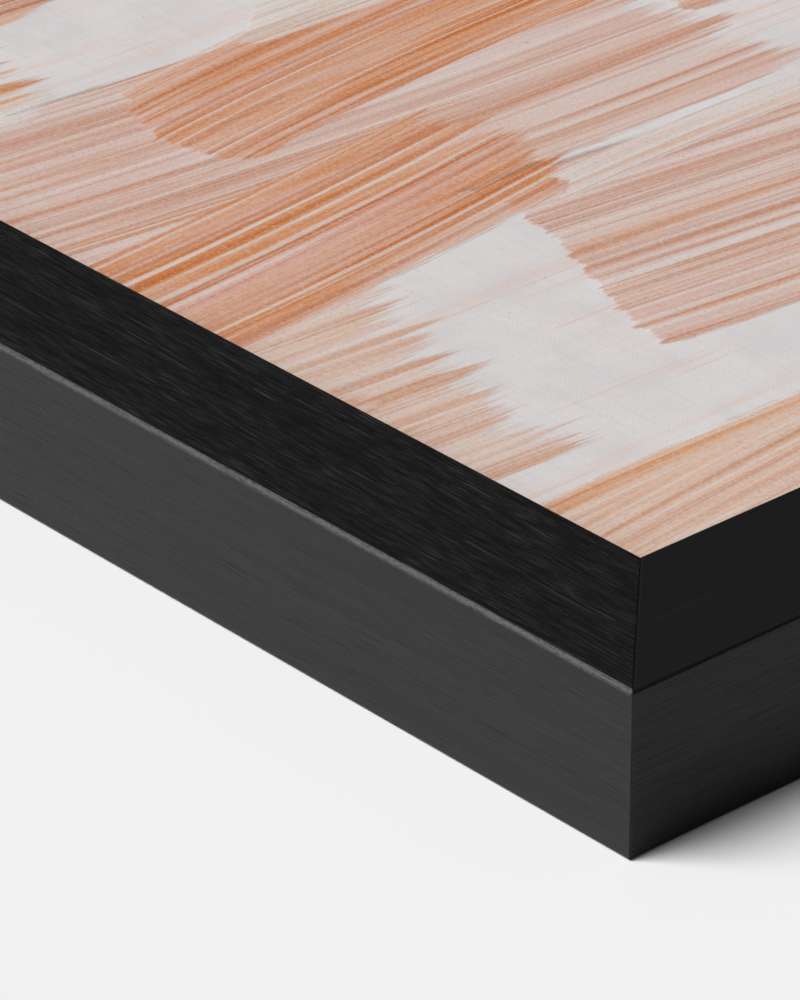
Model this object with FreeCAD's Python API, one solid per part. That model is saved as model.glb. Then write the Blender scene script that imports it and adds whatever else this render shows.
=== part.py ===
import FreeCAD, Part
import math
import os

from FreeCAD import Vector

# A stretched canvas in a rebated wooden frame, lying on its back with the painted face up. Millimetres.
# X runs along the long side and Y up the picture, Z is the depth. The origin is the middle of the
# back of the frame, on the surface that the frame lies on.
#
# Every side is drawn once in its own place: x along the side from its left end, y inwards from the
# outer edge, z up from the back. around() then carries it to the bottom, right, top or left.

# The canvas, measured over its cloth. The cloth is one piece, drawn as its face and its turned edge.
CANVAS_LENGTH = 500.0
CANVAS_HEIGHT = 400.0
CLOTH = 0.5  # thickness of the primed and painted cloth
TURN_OVER = 22.0  # how much cloth lies on the back of the bars

# The stretcher bars. A corner is four equal layers: mitre, slot, tongue, mitre, from the back.
BAR_WIDTH = 38.0
BAR_THICKNESS = 18.0
RIM_WIDTH = 6.0  # flat outer rim that carries the cloth
BAR_FALL = 2.5  # how far the front slopes away from the cloth by the inner edge
CORNER_LAYERS = 4

# The wooden keys, two to a corner, that spread the bars.
KEY_LENGTH = 42.0
KEY_DEPTH = 26.0  # how far a key stands in its slot
KEY_NOSE = 5.0
KEY_TAIL = 14.0
KEY_CLEARANCE = 0.15  # all round a key
KEY_END_CLEARANCE = 1.0  # between a key's nose and the end of its slot
KEY_PULL = 20.0  # how far a key slides out while its slot still guides it

# The frame moulding.
RAIL_WIDTH = 30.0
LIP_WIDTH = 6.0  # stands in front of the picture's edge
LIP_THICKNESS = 5.0
BACK_RECESS = 6.5  # from the back of the frame up to the back of the bars
REBATE_CLEARANCE = 1.0  # between the cloth and the rebate, on each side
FACE_ROUND = 0.9  # outer edge of the face
LIP_ROUND = 0.6
BACK_ROUND = 0.6

# V-shaped steel joiners, pressed into the back of each frame corner.
JOINER_LEG = 6.0
JOINER_STEEL = 0.5
JOINER_HEIGHT = 15.0
JOINER_INSET = 0.3  # below the back of the frame
JOINERS_PER_CORNER = 2

# Flat steel points in the rebate wall, which hold the picture against the lip.
POINT_WIDTH = 9.0
POINT_STEEL = 0.5
POINT_DRIVEN = 7.0
POINT_SHOWN = 9.0
POINT_SPACING = 150.0
POINT_TIP = 3.0  # length of the pointed end
POINT_CORNER = 2.0

# Staples that hold the cloth on the back of the bars.
STAPLE_CROWN = 10.0
STAPLE_WIRE = 0.6
STAPLE_SKIN = 0.5  # wood between a staple's tip and the next corner layer
STAPLE_INSET = 14.0  # from the outer edge of the bar
STAPLE_SPACING = 50.0

# Two strap hangers with D-rings, on the back of the side bars.
STRAP_MARGIN = 1.5  # between the turned cloth and the strap
HANGER_DROP = 133.0  # ring's axis below the top of the canvas
STRAP_WIDTH = 9.0
STRAP_LENGTH = 25.0  # from the ring's axis to the strap's end
STRAP_STEEL = 0.8
STRAP_FOLD_GAP = 0.15  # between the two layers of the folded strap
STRAP_BEND = 4.5  # length of the stretch where the outer layer closes on the inner one
RING_WIRE = 2.0
RING_WIDTH = 16.0  # between the middles of the wire
RING_REACH = 13.0  # from the axis to the middle of the far wire
RING_CORNER = 2.5
RING_CROWN = 7.5  # radius of the two far corners
RING_CLEARANCE = 0.08  # round the ring's straight side in the strap's eye
SCREW_SHANK = 3.0
SCREW_LENGTH = 12.0  # under the head
SCREW_TIP = 3.0
SCREW_HEAD = 6.0
SCREW_HEAD_HEIGHT = 1.6
SCREW_HEAD_ROUND = 0.7
SCREW_HOLE_CLEARANCE = 0.1
CROSS_LENGTH = 3.2  # the driver's cross in a screw's head
CROSS_WIDTH = 0.7
CROSS_DEPTH = 0.8
FIRST_SCREW = 9.0  # below the ring's axis
SCREW_PITCH = 10.0
SCREWS_PER_HANGER = 2

# What follows from them.
RAIL_DEPTH = LIP_THICKNESS + CLOTH + BAR_THICKNESS + BACK_RECESS
RAIL_WALL = RAIL_WIDTH - LIP_WIDTH
FRAME_LENGTH = CANVAS_LENGTH + 2 * (REBATE_CLEARANCE + RAIL_WALL)
FRAME_HEIGHT = CANVAS_HEIGHT + 2 * (REBATE_CLEARANCE + RAIL_WALL)
STRETCHER_LENGTH = CANVAS_LENGTH - 2 * CLOTH
STRETCHER_HEIGHT = CANVAS_HEIGHT - 2 * CLOTH
BAR_BACK = BACK_RECESS
BAR_FRONT = BAR_BACK + BAR_THICKNESS
CLOTH_FRONT = BAR_FRONT + CLOTH
CLOTH_BACK = BAR_BACK - CLOTH
LAYER = BAR_THICKNESS / CORNER_LAYERS
STAPLE_LEG = LAYER - STAPLE_SKIN
EYE_RADIUS = RING_WIRE / 2 + RING_CLEARANCE
STRAP_EYE = EYE_RADIUS + STRAP_STEEL
STRAP_THICKNESS = 2 * STRAP_STEEL + STRAP_FOLD_GAP
HANGER_X = STRETCHER_LENGTH / 2 - TURN_OVER - STRAP_MARGIN - STRAP_WIDTH / 2
HANGER_Y = CANVAS_HEIGHT / 2 - HANGER_DROP
HANGER_AXIS_Z = BAR_BACK - STRAP_EYE
SCREW_PLACES = [FIRST_SCREW + SCREW_PITCH * i for i in range(SCREWS_PER_HANGER)]
FAR = 1.0  # how far a cutting solid runs past what it cuts

SIDES = ("bottom", "right", "top", "left")
UP = Vector(0, 0, 1)


def side_run(index, length, height):
    """The length of a side of a rectangle, and the size across it."""
    return (length, height) if index % 2 == 0 else (height, length)


def around(shape, index, length, height, z=0.0):
    """A copy of a side's shape, carried to side index of a length by height rectangle."""
    run, across = side_run(index, length, height)
    placed = shape.copy()
    placed.translate(Vector(-run / 2, -across / 2, z))
    placed.rotate(Vector(), UP, 90 * index)
    return placed


def rounded_wire(corners):
    """A closed wire through (point, radius) corners, each rounded by its radius."""
    edges = []
    ends = []
    count = len(corners)
    for i, (point, radius) in enumerate(corners):
        back = (corners[i - 1][0] - point).normalize()
        ahead = (corners[(i + 1) % count][0] - point).normalize()
        if radius == 0:
            ends.append((point, point))
            continue
        half = back.getAngle(ahead) / 2
        reach = radius / math.tan(half)
        start = point + back * reach
        end = point + ahead * reach
        middle_way = (back + ahead).normalize()
        centre = point + middle_way * (radius / math.sin(half))
        middle = centre - middle_way * radius
        ends.append((start, end))
        edges.append(Part.Arc(start, middle, end).toShape())
    for i, (_, end) in enumerate(ends):
        start = ends[(i + 1) % count][0]
        if end.distanceToPoint(start) > 1e-6:
            edges.append(Part.makeLine(end, start))
    return Part.Wire(Part.__sortEdges__(edges))


def prism(points, low, high):
    """A solid over a polygon of (x, y) points, between two heights."""
    wire = rounded_wire([(Vector(x, y, low), 0) for x, y in points])
    return Part.Face(wire).extrude(UP * (high - low))


def block(x, y, z):
    """A box between (low, high) pairs along X, Y and Z."""
    corner = Vector(x[0], y[0], z[0])
    return Part.makeBox(x[1] - x[0], y[1] - y[0], z[1] - z[0], corner)


def spread(run, margin, spacing):
    """Places along a run, evenly spaced near the given spacing, the first and last at the margin."""
    count = max(1, round((run - 2 * margin) / spacing))
    step = (run - 2 * margin) / count
    return [margin + step * i for i in range(count + 1)]


def mitred(shape, run, width, height):
    """A side's shape with both ends cut at 45 degrees."""
    outline = [(0, 0), (run, 0), (run - width, width), (width, width)]
    return shape.common(prism(outline, -FAR, height + FAR))


# The frame


def frame_rail(index):
    """One mitred length of moulding, with its rebate on the inner back edge."""
    run, _ = side_run(index, FRAME_LENGTH, FRAME_HEIGHT)
    outline = [
        (Vector(0, 0, 0), BACK_ROUND),
        (Vector(0, RAIL_WALL, 0), 0),
        (Vector(0, RAIL_WALL, CLOTH_FRONT), 0),
        (Vector(0, RAIL_WIDTH, CLOTH_FRONT), 0),
        (Vector(0, RAIL_WIDTH, RAIL_DEPTH), LIP_ROUND),
        (Vector(0, 0, RAIL_DEPTH), FACE_ROUND),
    ]
    bar = Part.Face(rounded_wire(outline)).extrude(Vector(run, 0, 0))
    return around(mitred(bar, run, RAIL_WIDTH, RAIL_DEPTH), index, FRAME_LENGTH, FRAME_HEIGHT)


def corner_joiners(index, low):
    """The joiners at the left end of a side, from a height up to the depth that they reach."""
    top = JOINER_INSET + JOINER_HEIGHT
    pitch = RAIL_WALL / (JOINERS_PER_CORNER + 1)
    found = []
    for i in range(JOINERS_PER_CORNER):
        at = pitch * (i + 1)
        leg = (at, at + JOINER_LEG)
        web = (at, at + JOINER_STEEL)
        joiner = block(leg, web, (low, top)).fuse(block(web, leg, (low, top))).removeSplitter()
        found.append(around(joiner, index, FRAME_LENGTH, FRAME_HEIGHT))
    return found


def framing_points(index):
    """The flat points of one side, driven into the rebate wall under the picture's back."""
    run, _ = side_run(index, FRAME_LENGTH, FRAME_HEIGHT)
    low = CLOTH_BACK - POINT_STEEL
    tip = RAIL_WALL - POINT_DRIVEN
    end = RAIL_WALL + POINT_SHOWN
    half = POINT_WIDTH / 2
    found = []
    for x in spread(run, POINT_SPACING / 2, POINT_SPACING):
        outline = [
            (Vector(x, tip, low), 0),
            (Vector(x + half, tip + POINT_TIP, low), 0),
            (Vector(x + half, end, low), POINT_CORNER),
            (Vector(x - half, end, low), POINT_CORNER),
            (Vector(x - half, tip + POINT_TIP, low), 0),
        ]
        point = Part.Face(rounded_wire(outline)).extrude(UP * POINT_STEEL)
        found.append(around(point, index, FRAME_LENGTH, FRAME_HEIGHT))
    return found


# The stretcher


def key_edge(distance):
    """The width of a key at a distance from its nose."""
    return KEY_NOSE + (KEY_TAIL - KEY_NOSE) * distance / KEY_LENGTH


def slot_cut():
    """What a slot takes off a bar's left end: the end up to its shoulder, and the key's tapered place."""
    inner = BAR_WIDTH
    nose = inner - KEY_DEPTH
    past = inner + FAR
    slack = 2 * KEY_CLEARANCE
    return [
        (-FAR, -FAR),
        (inner, -FAR),
        (inner, nose - KEY_END_CLEARANCE),
        (inner + key_edge(-KEY_END_CLEARANCE) + slack, nose - KEY_END_CLEARANCE),
        (inner + key_edge(past - nose) + slack, past),
        (-FAR, past),
    ]


def mitre_cut():
    """What a mitre takes off a bar's left end."""
    past = BAR_WIDTH + FAR
    return [(-FAR, -FAR), (past, past), (-FAR, past)]


def mirrored(points, run):
    """The same outline at a bar's right end."""
    return [(run - x, y) for x, y in points]


def stretcher_bar(index):
    """One bar. Its left end has its tongue in the second layer, and its right end in the third."""
    run, _ = side_run(index, STRETCHER_LENGTH, STRETCHER_HEIGHT)
    section = [
        Vector(0, 0, 0),
        Vector(0, BAR_WIDTH, 0),
        Vector(0, BAR_WIDTH, BAR_THICKNESS - BAR_FALL),
        Vector(0, RIM_WIDTH, BAR_THICKNESS),
        Vector(0, 0, BAR_THICKNESS),
    ]
    bar = Part.Face(rounded_wire([(p, 0) for p in section])).extrude(Vector(run, 0, 0))
    for layer in range(CORNER_LAYERS):
        low = layer * LAYER - (FAR if layer == 0 else 0)
        high = (layer + 1) * LAYER + (FAR if layer == CORNER_LAYERS - 1 else 0)
        if layer in (0, CORNER_LAYERS - 1):
            bar = bar.cut(prism(mitre_cut(), low, high))
            bar = bar.cut(prism(mirrored(mitre_cut(), run), low, high))
        elif layer == 1:
            bar = bar.cut(prism(mirrored(slot_cut(), run), low, high))
        else:
            bar = bar.cut(prism(slot_cut(), low, high))
    return around(bar, index, STRETCHER_LENGTH, STRETCHER_HEIGHT, BAR_BACK)


def corner_key(index, layer):
    """The key in a bar's slot: the right end's lies in layer 1, and the left end's in layer 2."""
    run, _ = side_run(index, STRETCHER_LENGTH, STRETCHER_HEIGHT)
    near = BAR_WIDTH + KEY_CLEARANCE
    nose = BAR_WIDTH - KEY_DEPTH
    tail = nose + KEY_LENGTH
    outline = [(near, nose), (near + KEY_NOSE, nose), (near + KEY_TAIL, tail), (near, tail)]
    if layer == 1:
        outline = mirrored(outline, run)
    key = prism(outline, layer * LAYER + KEY_CLEARANCE, (layer + 1) * LAYER - KEY_CLEARANCE)
    return around(key, index, STRETCHER_LENGTH, STRETCHER_HEIGHT, BAR_BACK)


def canvas_face():
    """The painted face of the cloth, over the bars and their window."""
    half_x = CANVAS_LENGTH / 2
    half_y = CANVAS_HEIGHT / 2
    return block((-half_x, half_x), (-half_y, half_y), (BAR_FRONT, CLOTH_FRONT))


def canvas_turned_edge():
    """The rest of the cloth: its four sides, and the band turned on to the back of the bars."""
    half_x = CANVAS_LENGTH / 2
    half_y = CANVAS_HEIGHT / 2
    bar_x = STRETCHER_LENGTH / 2
    bar_y = STRETCHER_HEIGHT / 2
    open_x = bar_x - TURN_OVER
    open_y = bar_y - TURN_OVER
    cloth = block((-half_x, half_x), (-half_y, half_y), (CLOTH_BACK, BAR_FRONT))
    cloth = cloth.cut(block((-bar_x, bar_x), (-bar_y, bar_y), (BAR_BACK, BAR_FRONT + FAR)))
    return cloth.cut(block((-open_x, open_x), (-open_y, open_y), (CLOTH_BACK - FAR, BAR_BACK)))


def staples(index):
    """The staples of one bar, through the turned cloth."""
    run, _ = side_run(index, STRETCHER_LENGTH, STRETCHER_HEIGHT)
    crown_low = -CLOTH - STAPLE_WIRE
    across = (STAPLE_INSET - STAPLE_WIRE / 2, STAPLE_INSET + STAPLE_WIRE / 2)
    found = []
    for x in spread(run, BAR_WIDTH, STAPLE_SPACING):
        left = x - STAPLE_CROWN / 2
        right = x + STAPLE_CROWN / 2
        staple = block((left, right), across, (crown_low, -CLOTH))
        for edge in (left, right - STAPLE_WIRE):
            staple = staple.fuse(block((edge, edge + STAPLE_WIRE), across, (-CLOTH, STAPLE_LEG)))
        staple = staple.removeSplitter()
        found.append(around(staple, index, STRETCHER_LENGTH, STRETCHER_HEIGHT, BAR_BACK))
    return found


# The hangers. Each is drawn with the middle of its ring's straight side over the origin, the bar's
# back at z = 0 and the ring towards +Y, and then carried to its bar.


def at_hanger(shape, side):
    """A copy of a hanger's shape at the left or right bar, for a side of -1 or 1."""
    placed = shape.copy()
    placed.translate(Vector(side * HANGER_X, HANGER_Y, BAR_BACK))
    return placed


def leaving_point(radius, y, z):
    """Where a line from (y, z), below a circle round the ring's axis, touches that circle."""
    axis = -STRAP_EYE
    distance = math.hypot(y, z - axis)
    angle = math.atan2(z - axis, y) % (2 * math.pi) + math.acos(radius / distance)
    return Vector(0, radius * math.cos(angle), axis + radius * math.sin(angle))


def hanger_strap():
    """A steel strap folded round the ring, both layers held by the screws."""
    outer_low = -STRAP_THICKNESS
    outer_high = outer_low + STRAP_STEEL
    end = -STRAP_LENGTH
    points = [
        Vector(0, end, 0),
        Vector(0, 0, 0),
        leaving_point(STRAP_EYE, -STRAP_BEND, outer_low),
        Vector(0, -STRAP_BEND, outer_low),
        Vector(0, end, outer_low),
        Vector(0, end, outer_high),
        Vector(0, -STRAP_BEND, outer_high),
        leaving_point(EYE_RADIUS, -STRAP_BEND, outer_high),
        Vector(0, 0, EYE_RADIUS - STRAP_EYE),
        Vector(0, end, -STRAP_STEEL),
    ]
    round_after = {1: STRAP_EYE, 7: EYE_RADIUS}  # where the outline goes round the ring, not straight
    edges = []
    for i, start in enumerate(points):
        stop = points[(i + 1) % len(points)]
        if i in round_after:
            edges.append(Part.Arc(start, Vector(0, round_after[i], -STRAP_EYE), stop).toShape())
        else:
            edges.append(Part.makeLine(start, stop))
    strap = Part.Face(Part.Wire(edges)).extrude(Vector(STRAP_WIDTH, 0, 0))
    strap.translate(Vector(-STRAP_WIDTH / 2, 0, 0))
    hole = SCREW_SHANK / 2 + SCREW_HOLE_CLEARANCE
    for place in SCREW_PLACES:
        foot = Vector(0, -place, -STRAP_THICKNESS - FAR)
        strap = strap.cut(Part.makeCylinder(hole, STRAP_THICKNESS + 2 * FAR, foot, UP))
    return strap


def hanger_ring():
    """A D-shaped ring of round wire, its straight side through the strap's eye."""
    half = RING_WIDTH / 2
    axis = -STRAP_EYE
    path = rounded_wire([
        (Vector(-half, 0, axis), RING_CORNER),
        (Vector(half, 0, axis), RING_CORNER),
        (Vector(half, RING_REACH, axis), RING_CROWN),
        (Vector(-half, RING_REACH, axis), RING_CROWN),
    ])
    start = path.OrderedVertexes[0].Point
    along = path.OrderedEdges[0].tangentAt(path.OrderedEdges[0].FirstParameter)
    section = Part.Wire(Part.makeCircle(RING_WIRE / 2, start, along))
    ring = path.makePipeShell([section], True, True)
    return ring if ring.Volume > 0 else ring.reversed()


def hanger_screw(place):
    """A pan-headed wood screw, its head on the strap and its tip in the bar."""
    seat = -STRAP_THICKNESS
    low = seat - SCREW_HEAD_HEIGHT
    at = Vector(0, -place, seat)
    head = Part.makeCylinder(SCREW_HEAD / 2, SCREW_HEAD_HEIGHT, Vector(0, -place, low), UP)
    rim = [edge for edge in head.Edges if abs(edge.CenterOfMass.z - low) < 1e-6]
    head = head.makeFillet(SCREW_HEAD_ROUND, rim)
    for across, along in ((CROSS_LENGTH, CROSS_WIDTH), (CROSS_WIDTH, CROSS_LENGTH)):
        x = (-across / 2, across / 2)
        y = (-place - along / 2, -place + along / 2)
        head = head.cut(block(x, y, (low - FAR, low + CROSS_DEPTH)))
    straight = SCREW_LENGTH - SCREW_TIP
    shank = Part.makeCylinder(SCREW_SHANK / 2, straight, at, UP)
    tip = Part.makeCone(SCREW_SHANK / 2, 0, SCREW_TIP, at + UP * straight, UP)
    return head.fuse([shank, tip]).removeSplitter()


# The assembly


def build():
    """Every node of the assembly, by name."""
    nodes = {}
    joiners = []
    joiner_pockets = []
    points = []
    staple_list = []
    for index in range(len(SIDES)):
        joiners += corner_joiners(index, JOINER_INSET)
        joiner_pockets += corner_joiners(index, -FAR)
        points += framing_points(index)
        staple_list += staples(index)
    screws = [at_hanger(hanger_screw(place), side) for side in (-1, 1) for place in SCREW_PLACES]

    for index, name in enumerate(SIDES):
        nodes["frame_rail_" + name] = frame_rail(index).cut(joiner_pockets + points)
    for index, name in enumerate(SIDES):
        nodes["stretcher_bar_" + name] = stretcher_bar(index).cut(staple_list + screws)
    for index, name in enumerate(SIDES):
        before, after = SIDES[index - 1], SIDES[(index + 1) % len(SIDES)]
        nodes[f"corner_key_{name}_{after}"] = corner_key(index, 1)
        nodes[f"corner_key_{name}_{before}"] = corner_key(index, 2)
    nodes["canvas_face"] = canvas_face()
    nodes["canvas_turned_edge"] = canvas_turned_edge().cut(staple_list)
    nodes["frame_joiners"] = Part.makeCompound(joiners)
    nodes["framing_points"] = Part.makeCompound(points)
    nodes["canvas_staples"] = Part.makeCompound(staple_list)
    for side, name in ((-1, "left"), (1, "right")):
        nodes["hanger_strap_" + name] = at_hanger(hanger_strap(), side)
        nodes["hanger_ring_" + name] = at_hanger(hanger_ring(), side)
    nodes["hanger_screws"] = Part.makeCompound(screws)
    return nodes


os.makedirs("parts", exist_ok=True)
whole = FreeCAD.BoundBox()
for node, shape in build().items():
    if not shape.isValid():
        raise ValueError(node + " is not a valid shape")
    shape.exportStep(f"parts/{node}.step")
    whole.add(shape.BoundBox)
    print(f"{node:32s} solids {len(shape.Solids):3d}  volume {shape.Volume:12.3f} mm3")

print(f"overall {whole.XLength:.3f} x {whole.YLength:.3f} x {whole.ZLength:.3f}, lowest {whole.ZMin:.3f}")
print(f"ring axis at x +-{HANGER_X:.3f}, y {HANGER_Y:.3f}, z {HANGER_AXIS_Z:.3f}")
print(f"window between the bars {STRETCHER_LENGTH - 2 * BAR_WIDTH:.3f} x {STRETCHER_HEIGHT - 2 * BAR_WIDTH:.3f}")
print(f"key travel {KEY_PULL:.1f}, key tail stands {KEY_LENGTH - KEY_DEPTH:.1f} proud of its bar")
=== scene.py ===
"""Looks of a painted canvas on keyed stretcher bars, held in a black-stained wooden frame.

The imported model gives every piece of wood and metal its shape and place. This script gives each one its
finish, and makes the one soft piece, the painted cloth, which stands for the model's two plain cloth
solids. Lengths are in metres, apart from the grains of noise and the cloth's band rings.
"""

import logging
import math
from abc import ABC, abstractmethod
from collections.abc import Callable, Iterator, Mapping, Sequence
from dataclasses import dataclass, replace
from enum import Enum
from itertools import product

import bpy
import numpy as np
from mathutils import Matrix, Vector
from mathutils.kdtree import KDTree


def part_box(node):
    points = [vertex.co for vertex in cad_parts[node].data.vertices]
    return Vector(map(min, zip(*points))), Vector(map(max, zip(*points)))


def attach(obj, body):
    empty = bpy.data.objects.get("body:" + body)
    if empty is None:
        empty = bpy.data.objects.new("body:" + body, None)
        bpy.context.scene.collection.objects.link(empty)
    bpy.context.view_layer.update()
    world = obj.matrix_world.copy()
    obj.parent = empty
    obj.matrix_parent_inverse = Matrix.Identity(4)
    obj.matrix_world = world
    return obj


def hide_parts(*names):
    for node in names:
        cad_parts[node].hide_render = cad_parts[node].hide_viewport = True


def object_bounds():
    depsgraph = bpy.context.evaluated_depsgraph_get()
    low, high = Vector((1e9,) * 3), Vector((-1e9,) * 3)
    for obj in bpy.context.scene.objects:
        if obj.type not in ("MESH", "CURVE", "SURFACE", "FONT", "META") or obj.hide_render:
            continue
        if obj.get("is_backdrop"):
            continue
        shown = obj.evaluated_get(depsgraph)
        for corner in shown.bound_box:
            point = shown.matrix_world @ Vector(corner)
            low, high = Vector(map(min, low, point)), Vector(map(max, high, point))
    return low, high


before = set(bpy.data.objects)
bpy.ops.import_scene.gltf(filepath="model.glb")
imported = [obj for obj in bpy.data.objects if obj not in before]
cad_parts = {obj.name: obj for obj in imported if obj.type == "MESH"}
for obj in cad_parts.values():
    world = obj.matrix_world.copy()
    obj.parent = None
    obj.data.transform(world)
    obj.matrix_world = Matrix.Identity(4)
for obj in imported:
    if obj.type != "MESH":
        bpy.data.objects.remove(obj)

LOG = logging.getLogger("stretched_canvas")
MM = 0.001

Colour = tuple[float, float, float]
Triple = tuple[float, float, float]
Span = tuple[float, float]
Face = tuple[int, ...]


def srgb(*channels: float) -> Colour:
    """Turns a paint chip's values into the linear colour that a shader takes.

    Args:
        *channels: Red, green and blue, from 0 to 255.

    Returns:
        The linear colour, from 0 to 1.
    """
    shares = (channel / 255 for channel in channels)
    return tuple(s / 12.92 if s <= 0.04045 else ((s + 0.055) / 1.055) ** 2.4 for s in shares)


def smooth(value: np.ndarray) -> np.ndarray:
    """Rises smoothly from 0 to 1 as the value does."""
    share = np.clip(value, 0.0, 1.0)
    return share * share * (3.0 - 2.0 * share)


def even(size: float) -> Triple:
    """The same size along x, y and z."""
    return (size, size, size)


def grid_faces(steps_x: int, steps_y: int) -> list[Face]:
    """Joins the points of a grid, which run row by row from the bottom left.

    Args:
        steps_x: How many faces there are along x.
        steps_y: How many there are along y.

    Returns:
        The faces, each anticlockwise.
    """
    row = steps_x + 1
    starts = [j * row + i for j in range(steps_y) for i in range(steps_x)]
    return [(start, start + 1, start + row + 1, start + row) for start in starts]


def add_object(name: str, data: bpy.types.ID) -> bpy.types.Object:
    """Puts a mesh, camera or light into the scene.

    Args:
        name: The object's name.
        data: What it holds.

    Returns:
        The object.
    """
    added = bpy.data.objects.new(name, data)
    bpy.context.scene.collection.objects.link(added)
    return added


# ---- Shader graphs ----


def operator(operation: str, swapped: bool = False) -> Callable[..., "Value"]:
    """Makes an operator of Value, which adds one Math node.

    Args:
        operation: The node's operation.
        swapped: Whether the operator's own value comes second.

    Returns:
        The operator's method.
    """

    def method(*values: "float | Value") -> "Value":
        """Adds the node on these values."""
        inputs = dict(enumerate(reversed(values) if swapped else values))
        return values[0].graph.node("ShaderNodeMath", {"operation": operation}, inputs)

    return method


@dataclass(frozen=True)
class Value:
    """What a node gives out, with the usual operators."""

    graph: "Graph"
    socket: bpy.types.NodeSocket

    __add__ = __radd__ = operator("ADD")
    __mul__ = __rmul__ = operator("MULTIPLY")
    __sub__ = operator("SUBTRACT")
    __rsub__ = operator("SUBTRACT", swapped=True)
    __abs__ = operator("ABSOLUTE")
    sine = operator("SINE")
    least = operator("MINIMUM")
    most = operator("MAXIMUM")

    def rise(self, start: float, end: float) -> "Value":
        """Rises smoothly from 0 where self is start to 1 where self is end, or falls where end is lower.

        Args:
            start: The value that gives 0.
            end: The value that gives 1.

        Returns:
            The smooth share, from 0 to 1.
        """
        low, high = sorted((start, end))
        ends = {"To Min": float(start > end), "To Max": float(start < end)}
        inputs = {"Value": self, "From Min": low, "From Max": high, **ends}
        return self.graph.node("ShaderNodeMapRange", {"interpolation_type": "SMOOTHSTEP"}, inputs, "Result")


@dataclass(frozen=True)
class Noise:
    """Noise in grains of one size along x, y and z, in millimetres.

    The detail is how many finer layers it has, the roughness how strong they are, and the shift how far
    it is moved, in grains.
    """

    size: Triple
    detail: float = 2.0
    roughness: float = 0.5
    shift: Triple = (0.0, 0.0, 0.0)


class Graph:
    """The node graph of one material or world, cleared and ready to be filled."""

    def __init__(self, owner: bpy.types.Material | bpy.types.World) -> None:
        """Clears the owner's nodes.

        Args:
            owner: The material or world.
        """
        owner.use_nodes = True
        self.tree = owner.node_tree
        self.tree.nodes.clear()

    def node(
        self,
        kind: str,
        settings: Mapping[str, object] | None = None,
        inputs: Mapping[str | int, object] | None = None,
        output: str | int = 0,
    ) -> Value:
        """Adds one node.

        Args:
            kind: The node's type.
            settings: Its properties, set first.
            inputs: A value or a link for each socket, by its name or number.
            output: The name or number of the output to return.

        Returns:
            The chosen output.
        """
        made = self.tree.nodes.new(kind)
        for name, setting in (settings or {}).items():
            setattr(made, name, setting)
        for name, given in (inputs or {}).items():
            if isinstance(given, Value):
                self.tree.links.new(given.socket, made.inputs[name])
            else:
                made.inputs[name].default_value = given
        return Value(self, made.outputs[output] if made.outputs else None)

    def mix(self, share: "float | Value", first: "Colour | Value", second: "Colour | Value") -> Value:
        """Mixes two colours.

        Args:
            share: How much of the second, from 0 to 1.
            first: The colour at 0.
            second: The colour at 1.

        Returns:
            The mixed colour.
        """
        sides = [(*c, 1.0) if isinstance(c, tuple) else c for c in (first, second)]
        inputs = {0: share, 6: sides[0], 7: sides[1]}
        return self.node("ShaderNodeMix", {"data_type": "RGBA"}, inputs, 2)

    def coats(self, base: "Colour | Value", *layers: "tuple[float | Value, Colour | Value]") -> Value:
        """Lays colours over one another.

        Args:
            base: The lowest colour.
            *layers: How much of each colour above it shows, from 0 to 1, and the colour.

        Returns:
            The colour on top.
        """
        for share, colour in layers:
            base = self.mix(share, base, colour)
        return base

    def times(self, vector: Value, factors: Triple) -> Value:
        """Multiplies each part of a colour or vector by its own factor."""
        return self.node("ShaderNodeVectorMath", {"operation": "MULTIPLY"}, {0: vector, 1: factors})

    def noise(self, place: Value, kind: Noise, shift: Triple | None = None) -> Value:
        """Adds noise.

        Args:
            place: The coordinates, in metres.
            kind: The kind of noise.
            shift: How far it is moved, in grains, where that isn't the kind's own.

        Returns:
            The noise, from 0 to 1, mostly near 0.5.
        """
        grains = {0: place, 1: tuple(1 / (size * MM) for size in kind.size), 2: shift or kind.shift}
        counted = self.node("ShaderNodeVectorMath", {"operation": "MULTIPLY_ADD"}, grains)
        inputs = {"Vector": counted, "Scale": 1.0, "Detail": kind.detail, "Roughness": kind.roughness}
        return self.node("ShaderNodeTexNoise", {}, inputs, "Fac")

    def object_place(self, turn: Triple = (0.0, 0.0, 0.0)) -> Value:
        """The point on the piece in the shared frame, turned by these angles about x, y and z."""
        place = self.node("ShaderNodeTexCoord", output="Object")
        return self.node("ShaderNodeMapping", {}, {"Vector": place, "Rotation": turn})

    def parts(self, place: Value) -> tuple[Value, Value, Value]:
        """The x, y and z of a vector."""
        split = self.node("ShaderNodeSeparateXYZ", {}, {0: place})
        return tuple(Value(self, out) for out in split.socket.node.outputs)

    def bump(self, height: Value, depth: float, strength: float = 1.0) -> Value:
        """Turns a height from 0 to 1, this deep in metres, into a normal."""
        return self.node("ShaderNodeBump", {}, {"Height": height, "Distance": depth, "Strength": strength})

    def surface(self, **sockets: object) -> None:
        """Ends the graph with a Principled shader.

        Args:
            **sockets: What its sockets hold, by name with _ for each space.
        """
        inputs = {name.replace("_", " "): given for name, given in sockets.items()}
        shader = self.node("ShaderNodeBsdfPrincipled", {}, inputs)
        self.node("ShaderNodeOutputMaterial", {}, {"Surface": shader})


# ---- Finishes ----


class Finish(ABC):
    """A look that a piece can be given."""

    @abstractmethod
    def fill(self, g: Graph) -> None:
        """Draws the look in an empty graph."""

    def make(self, name: str) -> bpy.types.Material:
        """Makes the look's material.

        Args:
            name: The material's name.

        Returns:
            The material.
        """
        material = bpy.data.materials.new(name)
        self.fill(Graph(material))
        return material


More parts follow.
